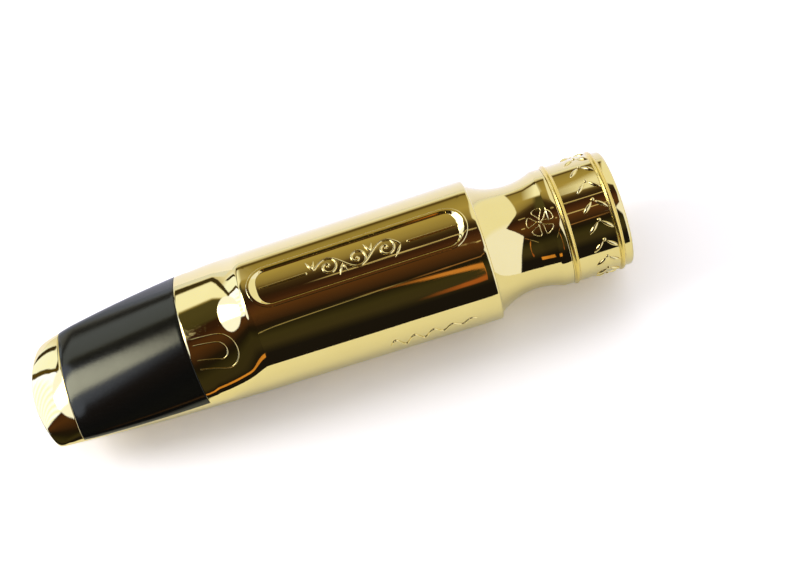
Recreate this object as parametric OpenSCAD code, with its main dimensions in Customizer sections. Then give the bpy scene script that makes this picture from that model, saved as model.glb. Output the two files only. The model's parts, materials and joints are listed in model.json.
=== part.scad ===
// Tenor saxophone mouthpiece, metal, with an inlaid bite plate.
// +X leaves the shank's bore, the tip points to -X, +Z is the beak's top and the reed's table faces -Z.
// The origin is the centre of the shank's open end.

/* [Lengths] */
// Shank's open end to the barrel's rear shoulder
shank_len = 22.4; // [22:0.1:27]
// Rear shoulder to the ridge where the beak begins
barrel_len = 38.1; // [34:0.1:44]
// Ridge to the tip
beak_len = 37.8; // [36:0.1:42]

/* [Barrel] */
// Diameter at the rear shoulder
barrel_rear_d = 23.2; // [22.6:0.1:24.5]
// Diameter at the ridge
barrel_front_d = 22.54; // [22.2:0.02:23.4]
// Chamfer round the rear shoulder
shoulder_chamfer = 0.5; // [0.2:0.1:0.8]

/* [Panel on the barrel] */
// Length of the round-ended panel
panel_len = 34.8; // [20:0.2:35]
// Width of the panel
panel_w = 6.4; // [4:0.1:8]
// Depth of its floor under the barrel's surface
panel_depth = 0.4; // [0.2:0.05:0.8]
// Rear shoulder to the panel's rear end
panel_setback = 2.1; // [0.8:0.1:2.4]

/* [Beak] */
// Depth of the straight ramp under the barrel's top at the ridge
ramp_step = 1.0; // [0.8:0.05:1.4]
// Radius of the hollow fillet that rises to the ridge
ramp_fillet_r = 14; // [10:0.5:16]
// Radius of the ramp's crown, across the beak, where its axis starts
crown_r = 13.6; // [13:0.1:15]
// Slope of the crown's own axis
crown_tilt = 29.3; // [28:0.1:30]
// Half angle by which the crown opens towards the tip
crown_flare = 12.7; // [12:0.1:13.5]
// Slope of the axis that the beak's sides are turned about
side_tilt = 3; // [2:0.1:4]
// Slope of the beak's sides where they leave the barrel
side_slope = 2; // [1.5:0.1:3]
// Radius of the long curve of the sides
side_curve_r = 625; // [500:5:900]

/* [Tip] */
// Length over which the top rolls down to the tip
tip_roll_len = 8.2; // [6:0.1:8.6]
// Radius of that roll
tip_roll_r = 21; // [20:0.5:28]
// Radius of the tip's outline, seen from above
tip_r = 19; // [15:0.5:24]
// Radius of the tip's two corners
tip_corner_r = 2.6; // [1.5:0.1:3.5]
// Half width of the tip where its corners end
tip_half_w = 9.3; // [9:0.05:9.5]

/* [Table and window] */
// Depth of the table under the bore's axis
table_drop = 7.0; // [6.8:0.05:7.2]
// Full round land between the table and the rear shoulder
land_len = 5.2; // [5:0.1:7]
// Length of the facing curve
facing_len = 25; // [20:0.5:28]
// Gap between the tip and a flat reed
tip_opening = 2.8; // [2:0.05:3]
// Tip rail, along the axis
tip_rail = 1.5; // [1.2:0.1:2]
// Length of the window behind the tip rail
window_len = 43.5; // [40:0.5:46]
// Width of the window at the tip rail
window_front_w = 13.6; // [12:0.1:13.8]
// Width of the window at its rear end
window_rear_w = 12.4; // [11:0.1:12.6]
// Tip's lower edge to the start of the baffle
baffle_lift = 0.35; // [0.2:0.05:0.6]
// Slope of the baffle and of the roof behind it
baffle_slope = 16.5; // [14:0.5:17.5]

/* [Chamber] */
// Radius of the chamber
chamber_r = 6.6; // [6:0.1:6.8]
// Height of the chamber's axis over the bore's axis
chamber_lift = 1.0; // [0.8:0.05:1.4]

/* [Bite plate] */
// Tip to the plate's front edge
plate_setback = 6.4; // [5.5:0.1:8]
// Length of the plate along the axis
plate_len = 20.6; // [16:0.1:22]
// Thickness of the plate
plate_t = 1.2; // [0.8:0.05:1.4]
// Height of the plate's lower edge at its rear, from the bore's axis
plate_edge_z = 0.8; // [-1.4:0.1:2]
// Slope of that edge
plate_edge_slope = 8.2; // [4:0.1:10.5]
// Gap that the adhesive fills under the plate
bond_gap = 0.05; // [0.02:0.01:0.1]

/* [Shank] */
// Diameter of the bore that takes the neck cork
bore_d = 16.0; // [15.6:0.05:16.2]
// Diameter at the narrowest place of the neck
neck_d = 17.4; // [17.2:0.05:18]
// Radius of the hollow neck
neck_cove_r = 10.8; // [8:0.1:14]
// Rear shoulder to the narrowest place
neck_setback = 6.45; // [5:0.05:8]
// Length of the spigot inside the barrel
spigot_len = 4.6; // [3:0.1:5]
// Wall of the spigot
spigot_wall = 1.9; // [1.5:0.05:2.1]
// Radial gap that the solder fills
solder_gap = 0.05; // [0.02:0.01:0.1]

/* [Collar] */
// Outer diameter of the collar between its beads
collar_d = 19.2; // [18.9:0.05:20]
// Length of the collar
collar_len = 10.0; // [9:0.1:12]
// Diameter of the seat under the collar
seat_d = 17.7; // [17.4:0.05:17.8]
// Shank's open end to the middle of the rear bead
rear_bead_at = 1.9; // [1.4:0.1:3.4]
// Width of each raised bead
bead_w = 0.9; // [0.6:0.05:1.2]
// Height of each bead over the collar
bead_h = 0.28; // [0.15:0.01:0.4]
// Step down from the collar to the rear lip
lip_step = 0.15; // [0.05:0.05:0.3]
// Radius round the rear lip
lip_round = 0.55; // [0.3:0.05:0.6]

/* [Hidden] */
$fn = 96;
eps = 0.01;
big = 40;
arc_steps = 8;
corner_steps = 5;
lip_steps = 4;

gold = "goldenrod";
black = "#161616";

shoulder_x = -shank_len;
ridge_x = shoulder_x - barrel_len;
tip_x = ridge_x - beak_len;
barrel_rear_r = barrel_rear_d / 2;
barrel_front_r = barrel_front_d / 2;

// the crown: a form turned about an axis that dives under the beak
ramp_slope = crown_tilt - crown_flare;
ramp_top_z = barrel_front_r - ramp_step;
crown_drop = crown_r / (cos(crown_tilt) + sin(crown_tilt) * tan(crown_flare));
crown_z = ramp_top_z - crown_drop;
ridge_u = -(barrel_front_r - crown_z) * sin(crown_tilt);
ridge_w = (barrel_front_r - crown_z) * cos(crown_tilt);
ridge_h = (ridge_w - crown_r - tan(crown_flare) * ridge_u) * cos(crown_flare);
fillet_run = sqrt(2 * ramp_fillet_r * ridge_h - ridge_h * ridge_h);
fillet_u = ridge_u + ridge_h * sin(crown_flare) + fillet_run * cos(crown_flare);
fillet_overrun = 12;
fillet_sweep = asin(fillet_run / ramp_fillet_r) + fillet_overrun;
roll_u = -crown_drop * sin(crown_tilt) + (beak_len - tip_roll_len) / cos(ramp_slope) * cos(crown_flare);
roll_sweep = 55;

function crown_radius(u) = crown_r + tan(crown_flare) * u;

// outline of the crown, [radius, place along its axis], brought in by inset
function crown_points(inset) = concat(
    [[0, fillet_u - ramp_fillet_r]],
    [for (i = [arc_steps:-1:0]) let (a = crown_flare - fillet_sweep * i / arc_steps)
        [crown_radius(fillet_u) + ramp_fillet_r * cos(crown_flare) - (ramp_fillet_r + inset) * cos(a),
         fillet_u - ramp_fillet_r * sin(crown_flare) + (ramp_fillet_r + inset) * sin(a)]],
    [for (i = [0:arc_steps]) let (a = crown_flare - roll_sweep * i / arc_steps)
        [crown_radius(roll_u) - tip_roll_r * cos(crown_flare) + (tip_roll_r - inset) * cos(a),
         roll_u + tip_roll_r * sin(crown_flare) - (tip_roll_r - inset) * sin(a)]],
    [[0, roll_u + 2 * tip_roll_r]]);

// the sides: a long curve turned about an axis that dips slightly
side_steps = 6;
side_overrun = 3;
side_len = beak_len + side_overrun;
function side_radius(d) = barrel_front_r - tan(side_slope) * d - d * d / (2 * side_curve_r);
function side_points(inset) = concat(
    [[0, -eps], [side_radius(0) - inset - eps, -eps]],
    [for (i = [1:side_steps]) let (d = side_len * i / side_steps) [side_radius(d) - inset, d]],
    [[0, side_len]]);

facing_r = facing_len * facing_len / (2 * tip_opening);
function facing_lift(d) = d * d / (2 * facing_r);

window_front_x = tip_x + tip_rail;
window_rear_x = window_front_x + window_len;
table_rear_x = shoulder_x - land_len;
tip_edge_z = -table_drop + tip_opening;

spigot_r = bore_d / 2 + spigot_wall;
chamber_front_x = window_rear_x - window_rear_w / 2;

plate_front_x = tip_x + plate_setback;
plate_rear_x = plate_front_x + plate_len;

neck_r = neck_d / 2;
neck_x = shoulder_x + neck_setback;
collar_r = collar_d / 2;
seat_r = seat_d / 2;
front_bead_at = collar_len - bead_w / 2;

// a solid turned about the bore's axis from [radius, distance from the shank's end]
module turned(points) {
    rotate([0, -90, 0]) rotate_extrude() polygon(points);
}

// a form turned about an axis that leaves (x, z) towards the tip and dips by tilt
module turned_tilted(x, z, tilt, points) {
    translate([x, 0, z]) rotate([0, -90 - tilt, 0]) rotate_extrude() polygon(points);
}

// a solid of any side view [x, z] that runs the whole width
module side_view(points, width = 2 * big) {
    rotate([90, 0, 0]) translate([0, 0, -width / 2]) linear_extrude(width) polygon(points);
}

// ---- the outside of the body ----

module crown(inset = 0) {
    turned_tilted(ridge_x, crown_z, crown_tilt, crown_points(inset));
}

module beak_sides(inset = 0) {
    turned_tilted(ridge_x, 0, side_tilt, side_points(inset));
}

module barrel() {
    turned([
        [0, shank_len],
        [barrel_rear_r - shoulder_chamfer, shank_len],
        [barrel_rear_r, shank_len + shoulder_chamfer],
        [barrel_front_r, shank_len + barrel_len],
        [0, shank_len + barrel_len]]);
}

// outline of the tip from above: a shallow arc with two round corners
module tip_outline() {
    arc_x = tip_x + tip_r;
    corner_y = tip_half_w - tip_corner_r;
    reach = tip_r - tip_corner_r;
    corner_x = arc_x - sqrt(reach * reach - corner_y * corner_y);
    turn = asin(corner_y / reach);
    half = concat(
        [for (i = [0:corner_steps]) let (a = turn * i / corner_steps) [arc_x - tip_r * cos(a), tip_r * sin(a)]],
        [for (i = [1:corner_steps]) let (a = turn + (90 - turn) * i / corner_steps)
            [corner_x - tip_corner_r * cos(a), corner_y + tip_corner_r * sin(a)]],
        [[plate_front_x, big], [big, big]]);
    translate([0, 0, -big]) linear_extrude(2 * big)
        polygon(concat(half, [for (i = [len(half) - 1:-1:1]) [half[i][0], -half[i][1]]]));
}

// side view of everything over the table, the facing curve and the round land
module over_the_table() {
    side_view(concat(
        [[big, big], [tip_x - big, big], [tip_x - big, tip_edge_z]],
        [for (i = [0:arc_steps]) let (d = facing_len * (1 - i / arc_steps))
            [tip_x + facing_len - d, -table_drop + facing_lift(d)]],
        [[table_rear_x, -table_drop], [table_rear_x, -big], [big, -big]]));
}

module outside() {
    intersection() {
        union() {
            barrel();
            intersection() {
                beak_sides();
                crown();
            }
        }
        union() {
            crown();
            translate([ridge_x - eps, -big, -big]) cube(2 * big);
        }
        tip_outline();
        over_the_table();
    }
}

// ---- what is cut from the body ----

// shallow round-ended panel, its floor rounded like the barrel
module panel() {
    half = panel_len / 2;
    middle_x = shoulder_x - panel_setback - half;
    run = half - panel_w / 2;
    difference() {
        translate([middle_x, 0, 0]) {
            for (side = [-1, 1]) translate([side * run, 0, 0]) cylinder(d = panel_w, h = big);
            translate([-run, -panel_w / 2, 0]) cube([2 * run, panel_w, big]);
        }
        turned([
            [0, 0],
            [barrel_rear_r - panel_depth, shank_len],
            [barrel_front_r - panel_depth, shank_len + barrel_len],
            [0, shank_len + barrel_len + panel_depth]]);
    }
}

// region of the bite plate: between two square cuts and over a falling line
module plate_region() {
    side_view([
        [plate_rear_x, big],
        [plate_front_x, big],
        [plate_front_x, plate_edge_z - plate_len * tan(plate_edge_slope)],
        [plate_rear_x, plate_edge_z]]);
}

module beak_core(inset) {
    intersection() {
        beak_sides(inset);
        crown(inset);
    }
}

module plate_pocket() {
    difference() {
        plate_region();
        beak_core(plate_t);
    }
}

// window seen from the reed's side: straight tapered sides and a round rear end
module window_outline() {
    rear_r = window_rear_w / 2;
    polygon([
        [window_front_x, -window_front_w / 2],
        [window_rear_x - rear_r, -rear_r],
        [window_rear_x - rear_r, rear_r],
        [window_front_x, window_front_w / 2]]);
    translate([window_rear_x - rear_r, 0]) circle(r = rear_r);
}

// the way from the window up to the baffle and its roof
module passage() {
    run = window_rear_x - window_front_x;
    roof_z = tip_edge_z + baffle_lift;
    intersection() {
        translate([0, 0, -big]) linear_extrude(2 * big) window_outline();
        side_view([
            [window_front_x - eps, -big],
            [window_front_x - eps, roof_z],
            [window_rear_x, roof_z + run * tan(baffle_slope)],
            [window_rear_x, -big]]);
    }
}

module chamber() {
    translate([chamber_front_x, 0, chamber_lift]) rotate([0, 90, 0])
        cylinder(r = chamber_r, h = shoulder_x - spigot_len - chamber_front_x + eps);
}

module spigot_socket() {
    turned([
        [0, shank_len - big],
        [spigot_r + solder_gap, shank_len - big],
        [spigot_r + solder_gap, shank_len + spigot_len],
        [0, shank_len + spigot_len]]);
}

// ---- the pieces ----

module body() {
    color(gold) difference() {
        outside();
        plate_pocket();
        panel();
        passage();
        chamber();
        spigot_socket();
    }
}

module bite_plate() {
    color(black) difference() {
        intersection() {
            beak_core(0);
            plate_region();
        }
        beak_core(plate_t - bond_gap);
    }
}

module shank() {
    color(gold) difference() {
        turned([
            [0, 0],
            [seat_r, 0],
            [seat_r, collar_len],
            [collar_r, collar_len],
            [collar_r, -neck_x],
            [barrel_rear_r, -neck_x],
            [barrel_rear_r, shank_len],
            [spigot_r, shank_len],
            [spigot_r, shank_len + spigot_len],
            [0, shank_len + spigot_len]]);
        rotate([0, -90, 0]) rotate_extrude() translate([neck_r + neck_cove_r, -neck_x]) circle(r = neck_cove_r);
        turned([[0, -eps], [bore_d / 2, -eps], [bore_d / 2, big], [0, big]]);
    }
}

module shank_collar() {
    lip_r = collar_r - lip_step;
    bore = seat_r + solder_gap;
    color(gold) {
        turned(concat(
            [[bore, 0]],
            [for (i = [0:lip_steps]) let (a = 90 * i / lip_steps)
                [lip_r - lip_round + lip_round * sin(a), lip_round - lip_round * cos(a)]],
            [[lip_r, rear_bead_at], [collar_r, rear_bead_at], [collar_r, collar_len], [bore, collar_len]]));
        for (at = [rear_bead_at, front_bead_at])
            rotate([0, -90, 0]) rotate_extrude() translate([collar_r + bead_h - bead_w / 2, at]) circle(d = bead_w);
    }
}

body();
bite_plate();
shank();
shank_collar();
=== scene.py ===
import bpy
import bmesh
import json
import math
import numpy as np
from mathutils import Matrix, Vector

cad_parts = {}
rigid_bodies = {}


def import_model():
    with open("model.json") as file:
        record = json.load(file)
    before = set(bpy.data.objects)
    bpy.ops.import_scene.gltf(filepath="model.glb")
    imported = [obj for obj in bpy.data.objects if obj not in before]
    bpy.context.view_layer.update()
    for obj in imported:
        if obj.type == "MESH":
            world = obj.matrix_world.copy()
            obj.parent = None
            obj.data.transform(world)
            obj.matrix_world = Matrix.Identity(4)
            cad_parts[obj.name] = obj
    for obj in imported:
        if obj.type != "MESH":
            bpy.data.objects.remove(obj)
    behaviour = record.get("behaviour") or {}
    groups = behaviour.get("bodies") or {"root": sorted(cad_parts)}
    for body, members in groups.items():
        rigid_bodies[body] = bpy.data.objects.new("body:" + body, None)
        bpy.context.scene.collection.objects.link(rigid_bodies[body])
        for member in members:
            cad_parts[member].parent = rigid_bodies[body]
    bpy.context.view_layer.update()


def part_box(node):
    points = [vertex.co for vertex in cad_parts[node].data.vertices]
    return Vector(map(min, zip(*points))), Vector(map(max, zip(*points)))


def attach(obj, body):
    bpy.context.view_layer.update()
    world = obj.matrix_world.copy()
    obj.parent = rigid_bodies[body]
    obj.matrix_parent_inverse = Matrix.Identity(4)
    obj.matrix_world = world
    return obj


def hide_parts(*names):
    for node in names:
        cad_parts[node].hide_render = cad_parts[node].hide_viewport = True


for spare in list(bpy.data.objects):
    bpy.data.objects.remove(spare)
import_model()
mm = 0.001

# All shapes are worked out in millimetres from the shank's open end and become metres in addRaw.


def cadBox(node):
    low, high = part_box(node)
    return np.array(low) / mm, np.array(high) / mm


bodyLow, bodyHigh = cadBox("body")
plateLow, plateHigh = cadBox("bite_plate")
tipX, shoulderX = bodyLow[0], bodyHigh[0]
plateFrontX, plateRearX = plateLow[0], plateHigh[0]
collarX = cadBox("shank_collar")[0][0]

# The outside is a depth: a function that says how far a point lies under the surface.

barrel = {
    "length": 38.1,          # rear shoulder to the ridge
    "frontRadius": 11.27,
    "rearRadius": 11.6,
    "ridgeEase": 2.4,        # length over which the barrel's cone turns into the beak's sides
    "sideTilt": 4.24,        # degrees, dip of the beak's own axis
    "sideSlope": 1.84,       # degrees, where the sides leave the barrel
    "sideCurve": 461.0,      # radius of the long curve of the sides
    "beakRun": 10.6,         # length over which the round form rises and widens ahead of the ridge
    "beakRise": 2.1,
    "beakSpread": 0.74,
}
crown = {
    "step": 1.12,            # straight ramp under the barrel's top at the ridge
    "filletRadius": 14.0,
    "radius": 13.35,
    "tilt": 28.4,            # degrees, dip of the crown's axis
    "flare": 12.84,          # degrees, opening of the crown towards the tip
    "rollLength": 8.2,
    "rollRadius": 21.0,
    "overlap": 0.5,          # how far the crown is followed behind the ridge
}
tip = {
    "radius": 19.0,
    "cornerRadius": 2.6,
    "halfWidth": 9.3,
    "tableDrop": 7.0,
    "facingLength": 25.0,
    "opening": 2.8,
    "edgeRound": 0.25,
}

ridgeX = shoulderX - barrel["length"]
crownEndX = ridgeX + crown["overlap"]
tilt, flare = math.radians(crown["tilt"]), math.radians(crown["flare"])
rampTopZ = barrel["frontRadius"] - crown["step"]
crownDrop = crown["radius"] / (math.cos(tilt) + math.sin(tilt) * math.tan(flare))
crownZ = rampTopZ - crownDrop
ridgeReach = barrel["frontRadius"] - crownZ
ridgeLift = (ridgeReach * math.cos(tilt) - crown["radius"]
             + math.tan(flare) * ridgeReach * math.sin(tilt)) * math.cos(flare)
filletRun = math.sqrt(2 * crown["filletRadius"] * ridgeLift - ridgeLift ** 2)
filletAlong = (-ridgeReach * math.sin(tilt) + ridgeLift * math.sin(flare)
               + filletRun * math.cos(flare))
rollAlong = (-crownDrop * math.sin(tilt)
             + (ridgeX - tipX - crown["rollLength"]) / math.cos(tilt - flare) * math.cos(flare))


def softRamp(d, ease):
    # zero below, d above, with a smooth turn of about the length ease
    return (d + np.sqrt(d * d + ease * ease)) / 2


def sectionCircle(x):
    # radius and centre height of the round form: a slow cone on the barrel, a long curve on the beak
    ahead = softRamp(ridgeX - x, barrel["ridgeEase"])
    behind = softRamp(x - ridgeX, barrel["ridgeEase"])
    taper = (barrel["rearRadius"] - barrel["frontRadius"]) / barrel["length"]
    share = np.clip((crownEndX - x) / barrel["beakRun"], 0, 1)
    share = share * share * (3 - 2 * share)
    radius = (barrel["frontRadius"] + taper * behind + barrel["beakSpread"] * share
              - math.tan(math.radians(barrel["sideSlope"])) * ahead
              - ahead ** 2 / (2 * barrel["sideCurve"]))
    return radius, barrel["beakRise"] * share - math.tan(math.radians(barrel["sideTilt"])) * ahead


def crownDepth(x, y, z):
    # depth under the crown: a cone on a dipping axis, a hollow fillet up to the ridge, a roll to the tip
    along = -(x - ridgeX) * math.cos(tilt) - (z - crownZ) * math.sin(tilt)
    across = -(x - ridgeX) * math.sin(tilt) + (z - crownZ) * math.cos(tilt)
    radial = np.hypot(y, across)
    sinF, cosF, tanF = math.sin(flare), math.cos(flare), math.tan(flare)
    cone = (crown["radius"] + tanF * along - radial) * cosF
    slant = along * cosF + (radial - crown["radius"]) * sinF
    fr = crown["filletRadius"]
    hollow = np.hypot(radial - (crown["radius"] + tanF * filletAlong + fr * cosF),
                      along - (filletAlong - fr * sinF)) - fr
    rr = crown["rollRadius"]
    rolled = rr - np.hypot(radial - (crown["radius"] + tanF * rollAlong - rr * cosF),
                           along - (rollAlong + rr * sinF))
    depth = np.where(slant < filletAlong / cosF, hollow, np.where(slant > rollAlong / cosF, rolled, cone))
    return np.where(x > crownEndX, 9.0, depth)   # no crown on the barrel: anything deep will do


arcX = tipX + tip["radius"]
cornerY = tip["halfWidth"] - tip["cornerRadius"]
cornerReach = tip["radius"] - tip["cornerRadius"]
cornerX = arcX - math.sqrt(cornerReach ** 2 - cornerY ** 2)
cornerTurn = math.asin(cornerY / cornerReach)


def outlineDepth(x, y):
    # how far a point lies inside the tip's outline from above: a shallow arc and two round corners
    side = np.abs(y)
    front = tip["radius"] - np.hypot(x - arcX, y)
    corner = tip["cornerRadius"] - np.hypot(np.minimum(x - cornerX, 0), side - cornerY)
    inFront = side * math.cos(cornerTurn) < (arcX - x) * math.sin(cornerTurn)
    return np.where(inFront, front, corner + 0.4 * np.maximum(x - cornerX, 0))


def softMin(a, b, k):
    # the lesser of two depths, with an edge rounded over the length k
    h = np.clip(0.5 + 0.5 * (b - a) / k, 0, 1)
    return b + (a - b) * h - k * h * (1 - h)


# the length over which the crown's edges are rounded, by x
edgeSoftness = [
    (tipX + 3, tip["edgeRound"]), (plateFrontX, 1.27), (plateRearX + 2, 1.27),
    (ridgeX - 8, 1.5), (ridgeX - 2, 0.35)]


def bodyDepth(x, y, z):
    # depth under the whole outside, but for the flat table
    radius, centre = sectionCircle(x)
    k = np.interp(x, *zip(*edgeSoftness))
    depth = softMin(radius - np.hypot(y, z - centre), crownDepth(x, y, z), k)
    return np.where(x < plateFrontX, softMin(depth, outlineDepth(x, y), tip["edgeRound"]), depth)


def tableHeight(x):
    # the flat table, and the facing that curves up from the reed towards the tip
    d = np.maximum(tipX + tip["facingLength"] - x, 0)
    return -tip["tableDrop"] + d * d * tip["opening"] / tip["facingLength"] ** 2


def bisect(test, low, high, steps=42):
    # narrows arrays of bounds to where test(value) turns from true to false
    for _ in range(steps):
        middle = (low + high) / 2
        inside = test(middle)
        low = np.where(inside, middle, low)
        high = np.where(inside, high, middle)
    return low


def raySurface(x, phi, inset=0.0):
    # points of the outside on rays from the section's centre, at phi radians from the top
    x, phi, inset = np.broadcast_arrays(np.asarray(x, float), phi, inset)
    centre = sectionCircle(x)[1]
    s, c = np.sin(phi), np.cos(phi)
    r = bisect(lambda m: bodyDepth(x, m * s, centre + m * c) > inset,
               np.zeros(x.shape), np.full(x.shape, 14.0))
    return np.stack([x, r * s, centre + r * c], -1)


def circlePoint(x, phi, lift=0.0):
    # points on the round form alone, or a lift outside it
    radius, centre = sectionCircle(x)
    r = radius + lift
    return np.stack(np.broadcast_arrays(x, r * np.sin(phi), centre + r * np.cos(phi)), -1)


def missesCrown(x, phi):
    # whether the round form stands out of the crown at an angle from the top
    p = circlePoint(x, phi)
    return crownDepth(p[..., 0], p[..., 1], p[..., 2]) < 0


def creaseAngle(x):
    # angle from the top at which the crown meets the round sides
    return bisect(lambda phi: missesCrown(x, phi), np.zeros(x.shape), np.full(x.shape, 1.9))


def ridgeLine(phi):
    # x of the ridge at an angle from the top
    return bisect(lambda x: missesCrown(x, phi), np.full(phi.shape, ridgeX - 9.0),
                  np.full(phi.shape, crownEndX - 0.05))


class Shell:
    # gathers grids of points and faces of one piece, in millimetres
    def __init__(self):
        self.points, self.quads, self.others, self.count = [], [], [], 0

    def add(self, points):
        flat = np.asarray(points, float).reshape(-1, 3)
        index = np.arange(len(flat)) + self.count
        self.points.append(flat)
        self.count += len(flat)
        return index.reshape(np.shape(points)[:-1])

    def grid(self, points, closeRows=False):
        # quads between the neighbours of an array of points [row, column]
        index = self.add(points)
        if closeRows:
            wide = np.concatenate([index, index[:, :1]], 1)
        else:
            wide = index
        a, b, c, d = wide[:-1, :-1], wide[1:, :-1], wide[1:, 1:], wide[:-1, 1:]
        self.quads.append(np.stack([a, b, c, d], -1).reshape(-1, 4))
        return index

    def polygon(self, points):
        self.others.append([int(i) for i in self.add(points)])

    def rod(self, rings):
        # a closed body of rings, with flat ends
        self.grid(rings, closeRows=True)
        self.polygon(rings[0])
        self.polygon(rings[-1])

    def mirrorY(self):
        # adds the other half, in the plane y = 0
        points = np.concatenate(self.points)
        shift = self.count
        self.points = [points, points * [1, -1, 1]]
        self.quads += [q[:, ::-1] + shift for q in list(self.quads)]
        self.others += [[i + shift for i in reversed(face)] for face in list(self.others)]
        self.count *= 2


def addRaw(name, shell):
    # merges a shell's seams and poles, points its faces outwards and puts it in the scene
    points = np.concatenate(shell.points) * mm
    faces = [f.tolist() for q in shell.quads for f in q] + shell.others
    mesh = bpy.data.meshes.new(name)
    mesh.from_pydata(points.tolist(), [], faces)
    work = bmesh.new()
    work.from_mesh(mesh)
    bmesh.ops.remove_doubles(work, verts=work.verts, dist=1.5e-6)
    bmesh.ops.dissolve_degenerate(work, edges=work.edges, dist=1e-7)
    bmesh.ops.recalc_face_normals(work, faces=work.faces)
    if work.calc_volume(signed=True) < 0:
        bmesh.ops.reverse_faces(work, faces=work.faces)
    work.to_mesh(mesh)
    work.free()
    piece = bpy.data.objects.new(name, mesh)
    bpy.context.scene.collection.objects.link(piece)
    return piece


def addPiece(name, shell, material, sharpAngle=32.0, replaces=None):
    return finishPiece(addRaw(name, shell), material, sharpAngle, replaces)


def finishPiece(piece, material, sharpAngle=32.0, replaces=None):
    # gives a piece its looks and its body, and hides the part that it stands for
    piece.data.shade_smooth()
    piece.data.set_sharp_from_angle(angle=math.radians(sharpAngle))
    piece.data.materials.clear()
    piece.data.materials.append(material)
    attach(piece, "root")
    if replaces:
        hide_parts(replaces)
    odd = int((facesPerEdge(piece.data) != 2).sum())
    print(piece.name, len(piece.data.polygons), "faces,", odd, "edges without two faces")
    return piece


def facesPerEdge(mesh):
    # 2 everywhere in a closed mesh
    loops = np.zeros(len(mesh.loops), np.int32)
    mesh.loops.foreach_get("edge_index", loops)
    return np.bincount(loops, minlength=len(mesh.edges))


def spaced(start, end, count, endSize=0.0, startSize=0.0):
    # count + 1 values from start to end, with steps that shrink towards an end that names its step
    t = np.linspace(0, 1, count + 1)
    size = endSize or startSize
    if size:
        power = max(1.0, math.log(abs(size / (end - start))) / math.log(1.0 / count))
        t = 1 - (1 - t) ** power if endSize else t ** power
    return start + (end - start) * t


panel = {
    "frontFromRidge": 1.15,
    "rearFromShoulder": 2.15,
    "halfWidth": 3.2,
    "depth": 0.38,
    "sideSlope": 82.0,       # degrees, steepness of the wall along the panel
    "endSlope": 22.5,        # and round its ends
    "edgeRound": 0.08,       # radius of the wall's upper and lower edge
    "rimFlat": 0.52,         # last ring that follows the outline outside
    "lipWidth": 0.46,        # a slightly raised lip round the panel
    "lipHeight": 0.075,
    # its rings: how far in from the lip's outer edge, and the share of its height
    "lipRings": ((0.0, 0.0), (0.025, 0.3), (0.05, 0.7), (0.08, 0.94), (0.11, 1.0), (0.25, 1.0),
                 (0.38, 1.0), (0.46, 1.0)),
    # shares of the way in over the floor
    "floorRings": (0, 0.08, 0.16, 0.27, 0.4, 0.55, 0.7, 0.85, 1.0),
}
body = {
    "ridgeCorner": 50.0,     # degrees from the top where the ridge turns into the shoulder's edge
    "topColumns": 44,        # of these, panelColumns lie under the panel's frame
    "panelColumns": 20,
    "upperColumns": 22,      # from the shoulder's edge to the bite plate's lower edge
    "lowerColumns": 14,      # from there to the table's corner
    "tipStations": 30,
    "plateStations": 46,
    "rampStations": 64,
    "ridgeStations": 16,     # from the ridge's line to the panel's frame
    "framePhi": 28.0,        # degrees from the top, side of the square frame round the panel
    "frameFront": 0.55,      # its ends, from the ridge and from the shoulder
    "frameRear": 1.35,
    "frameBend": 14,         # stations in each end of the panel
    "frameRun": 44,          # and along it
    "plateThickness": 1.2,
    "plateLean": 0.13,       # the plate's ends lean: they lie further back where they are lower
    "plateFrontShift": -0.02,
    "plateRearShift": 0.71,
    "rimChamfer": 0.14,      # broken edge of the metal round the plate
    "bondGap": 0.05,
    "plateEdgeZ": 0.8,       # the plate's lower edge at its rear
    "plateEdgeSlope": 8.2,   # degrees
    "landLength": 5.2,       # full round behind the table
    "landColumns": 12,
    "shoulderRound": 0.42,
}

nTop, nUpper, nLower = body["topColumns"], body["upperColumns"], body["lowerColumns"]
nSide = nUpper + nLower
edgeColumn = nTop + nUpper
cornerPhi = math.radians(body["ridgeCorner"])
framePhi = math.radians(body["framePhi"])
meanRadius = (barrel["frontRadius"] + barrel["rearRadius"]) / 2
topShare = np.concatenate([
    np.linspace(0, framePhi / cornerPhi, body["panelColumns"] + 1),
    spaced(framePhi / cornerPhi, 1, nTop - body["panelColumns"], endSize=0.005)[1:]])
upperShare = spaced(0, 1, nUpper, startSize=0.008)
lowerShare = np.linspace(0, 1, nLower + 1)
cornerRidgeX = float(ridgeLine(np.array([cornerPhi]))[0])
landX = shoulderX - body["landLength"]
# centres of the panel's round ends
panelFrontX = ridgeX + panel["frontFromRidge"] + panel["halfWidth"]
panelRearX = shoulderX - panel["rearFromShoulder"] - panel["halfWidth"]


def plateEdgeHeight(x):
    return body["plateEdgeZ"] - math.tan(math.radians(body["plateEdgeSlope"])) * np.clip(
        plateRearX - x, plateRearX - ridgeX, None)


def sideAngle(x, z):
    # angle from the top at which the round form has the height z
    radius, centre = sectionCircle(x)
    return np.arccos(np.clip((z - centre) / radius, -1, 1))


def sectionAngles(x, crease):
    # angles of all the columns at stations x whose crown ends at the angle crease
    edge = sideAngle(x, plateEdgeHeight(x))
    table = sideAngle(x, tableHeight(x))
    top = crease[:, None] * topShare
    upper = crease[:, None] + (edge - crease)[:, None] * upperShare[1:]
    lower = edge[:, None] + (table - edge)[:, None] * lowerShare[1:]
    return np.concatenate([top, upper, lower], 1)


def tableEdged(points):
    # puts the last column of a grid exactly into the table
    points[:, -1, 2] = tableHeight(points[:, -1, 0])
    return points


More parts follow.
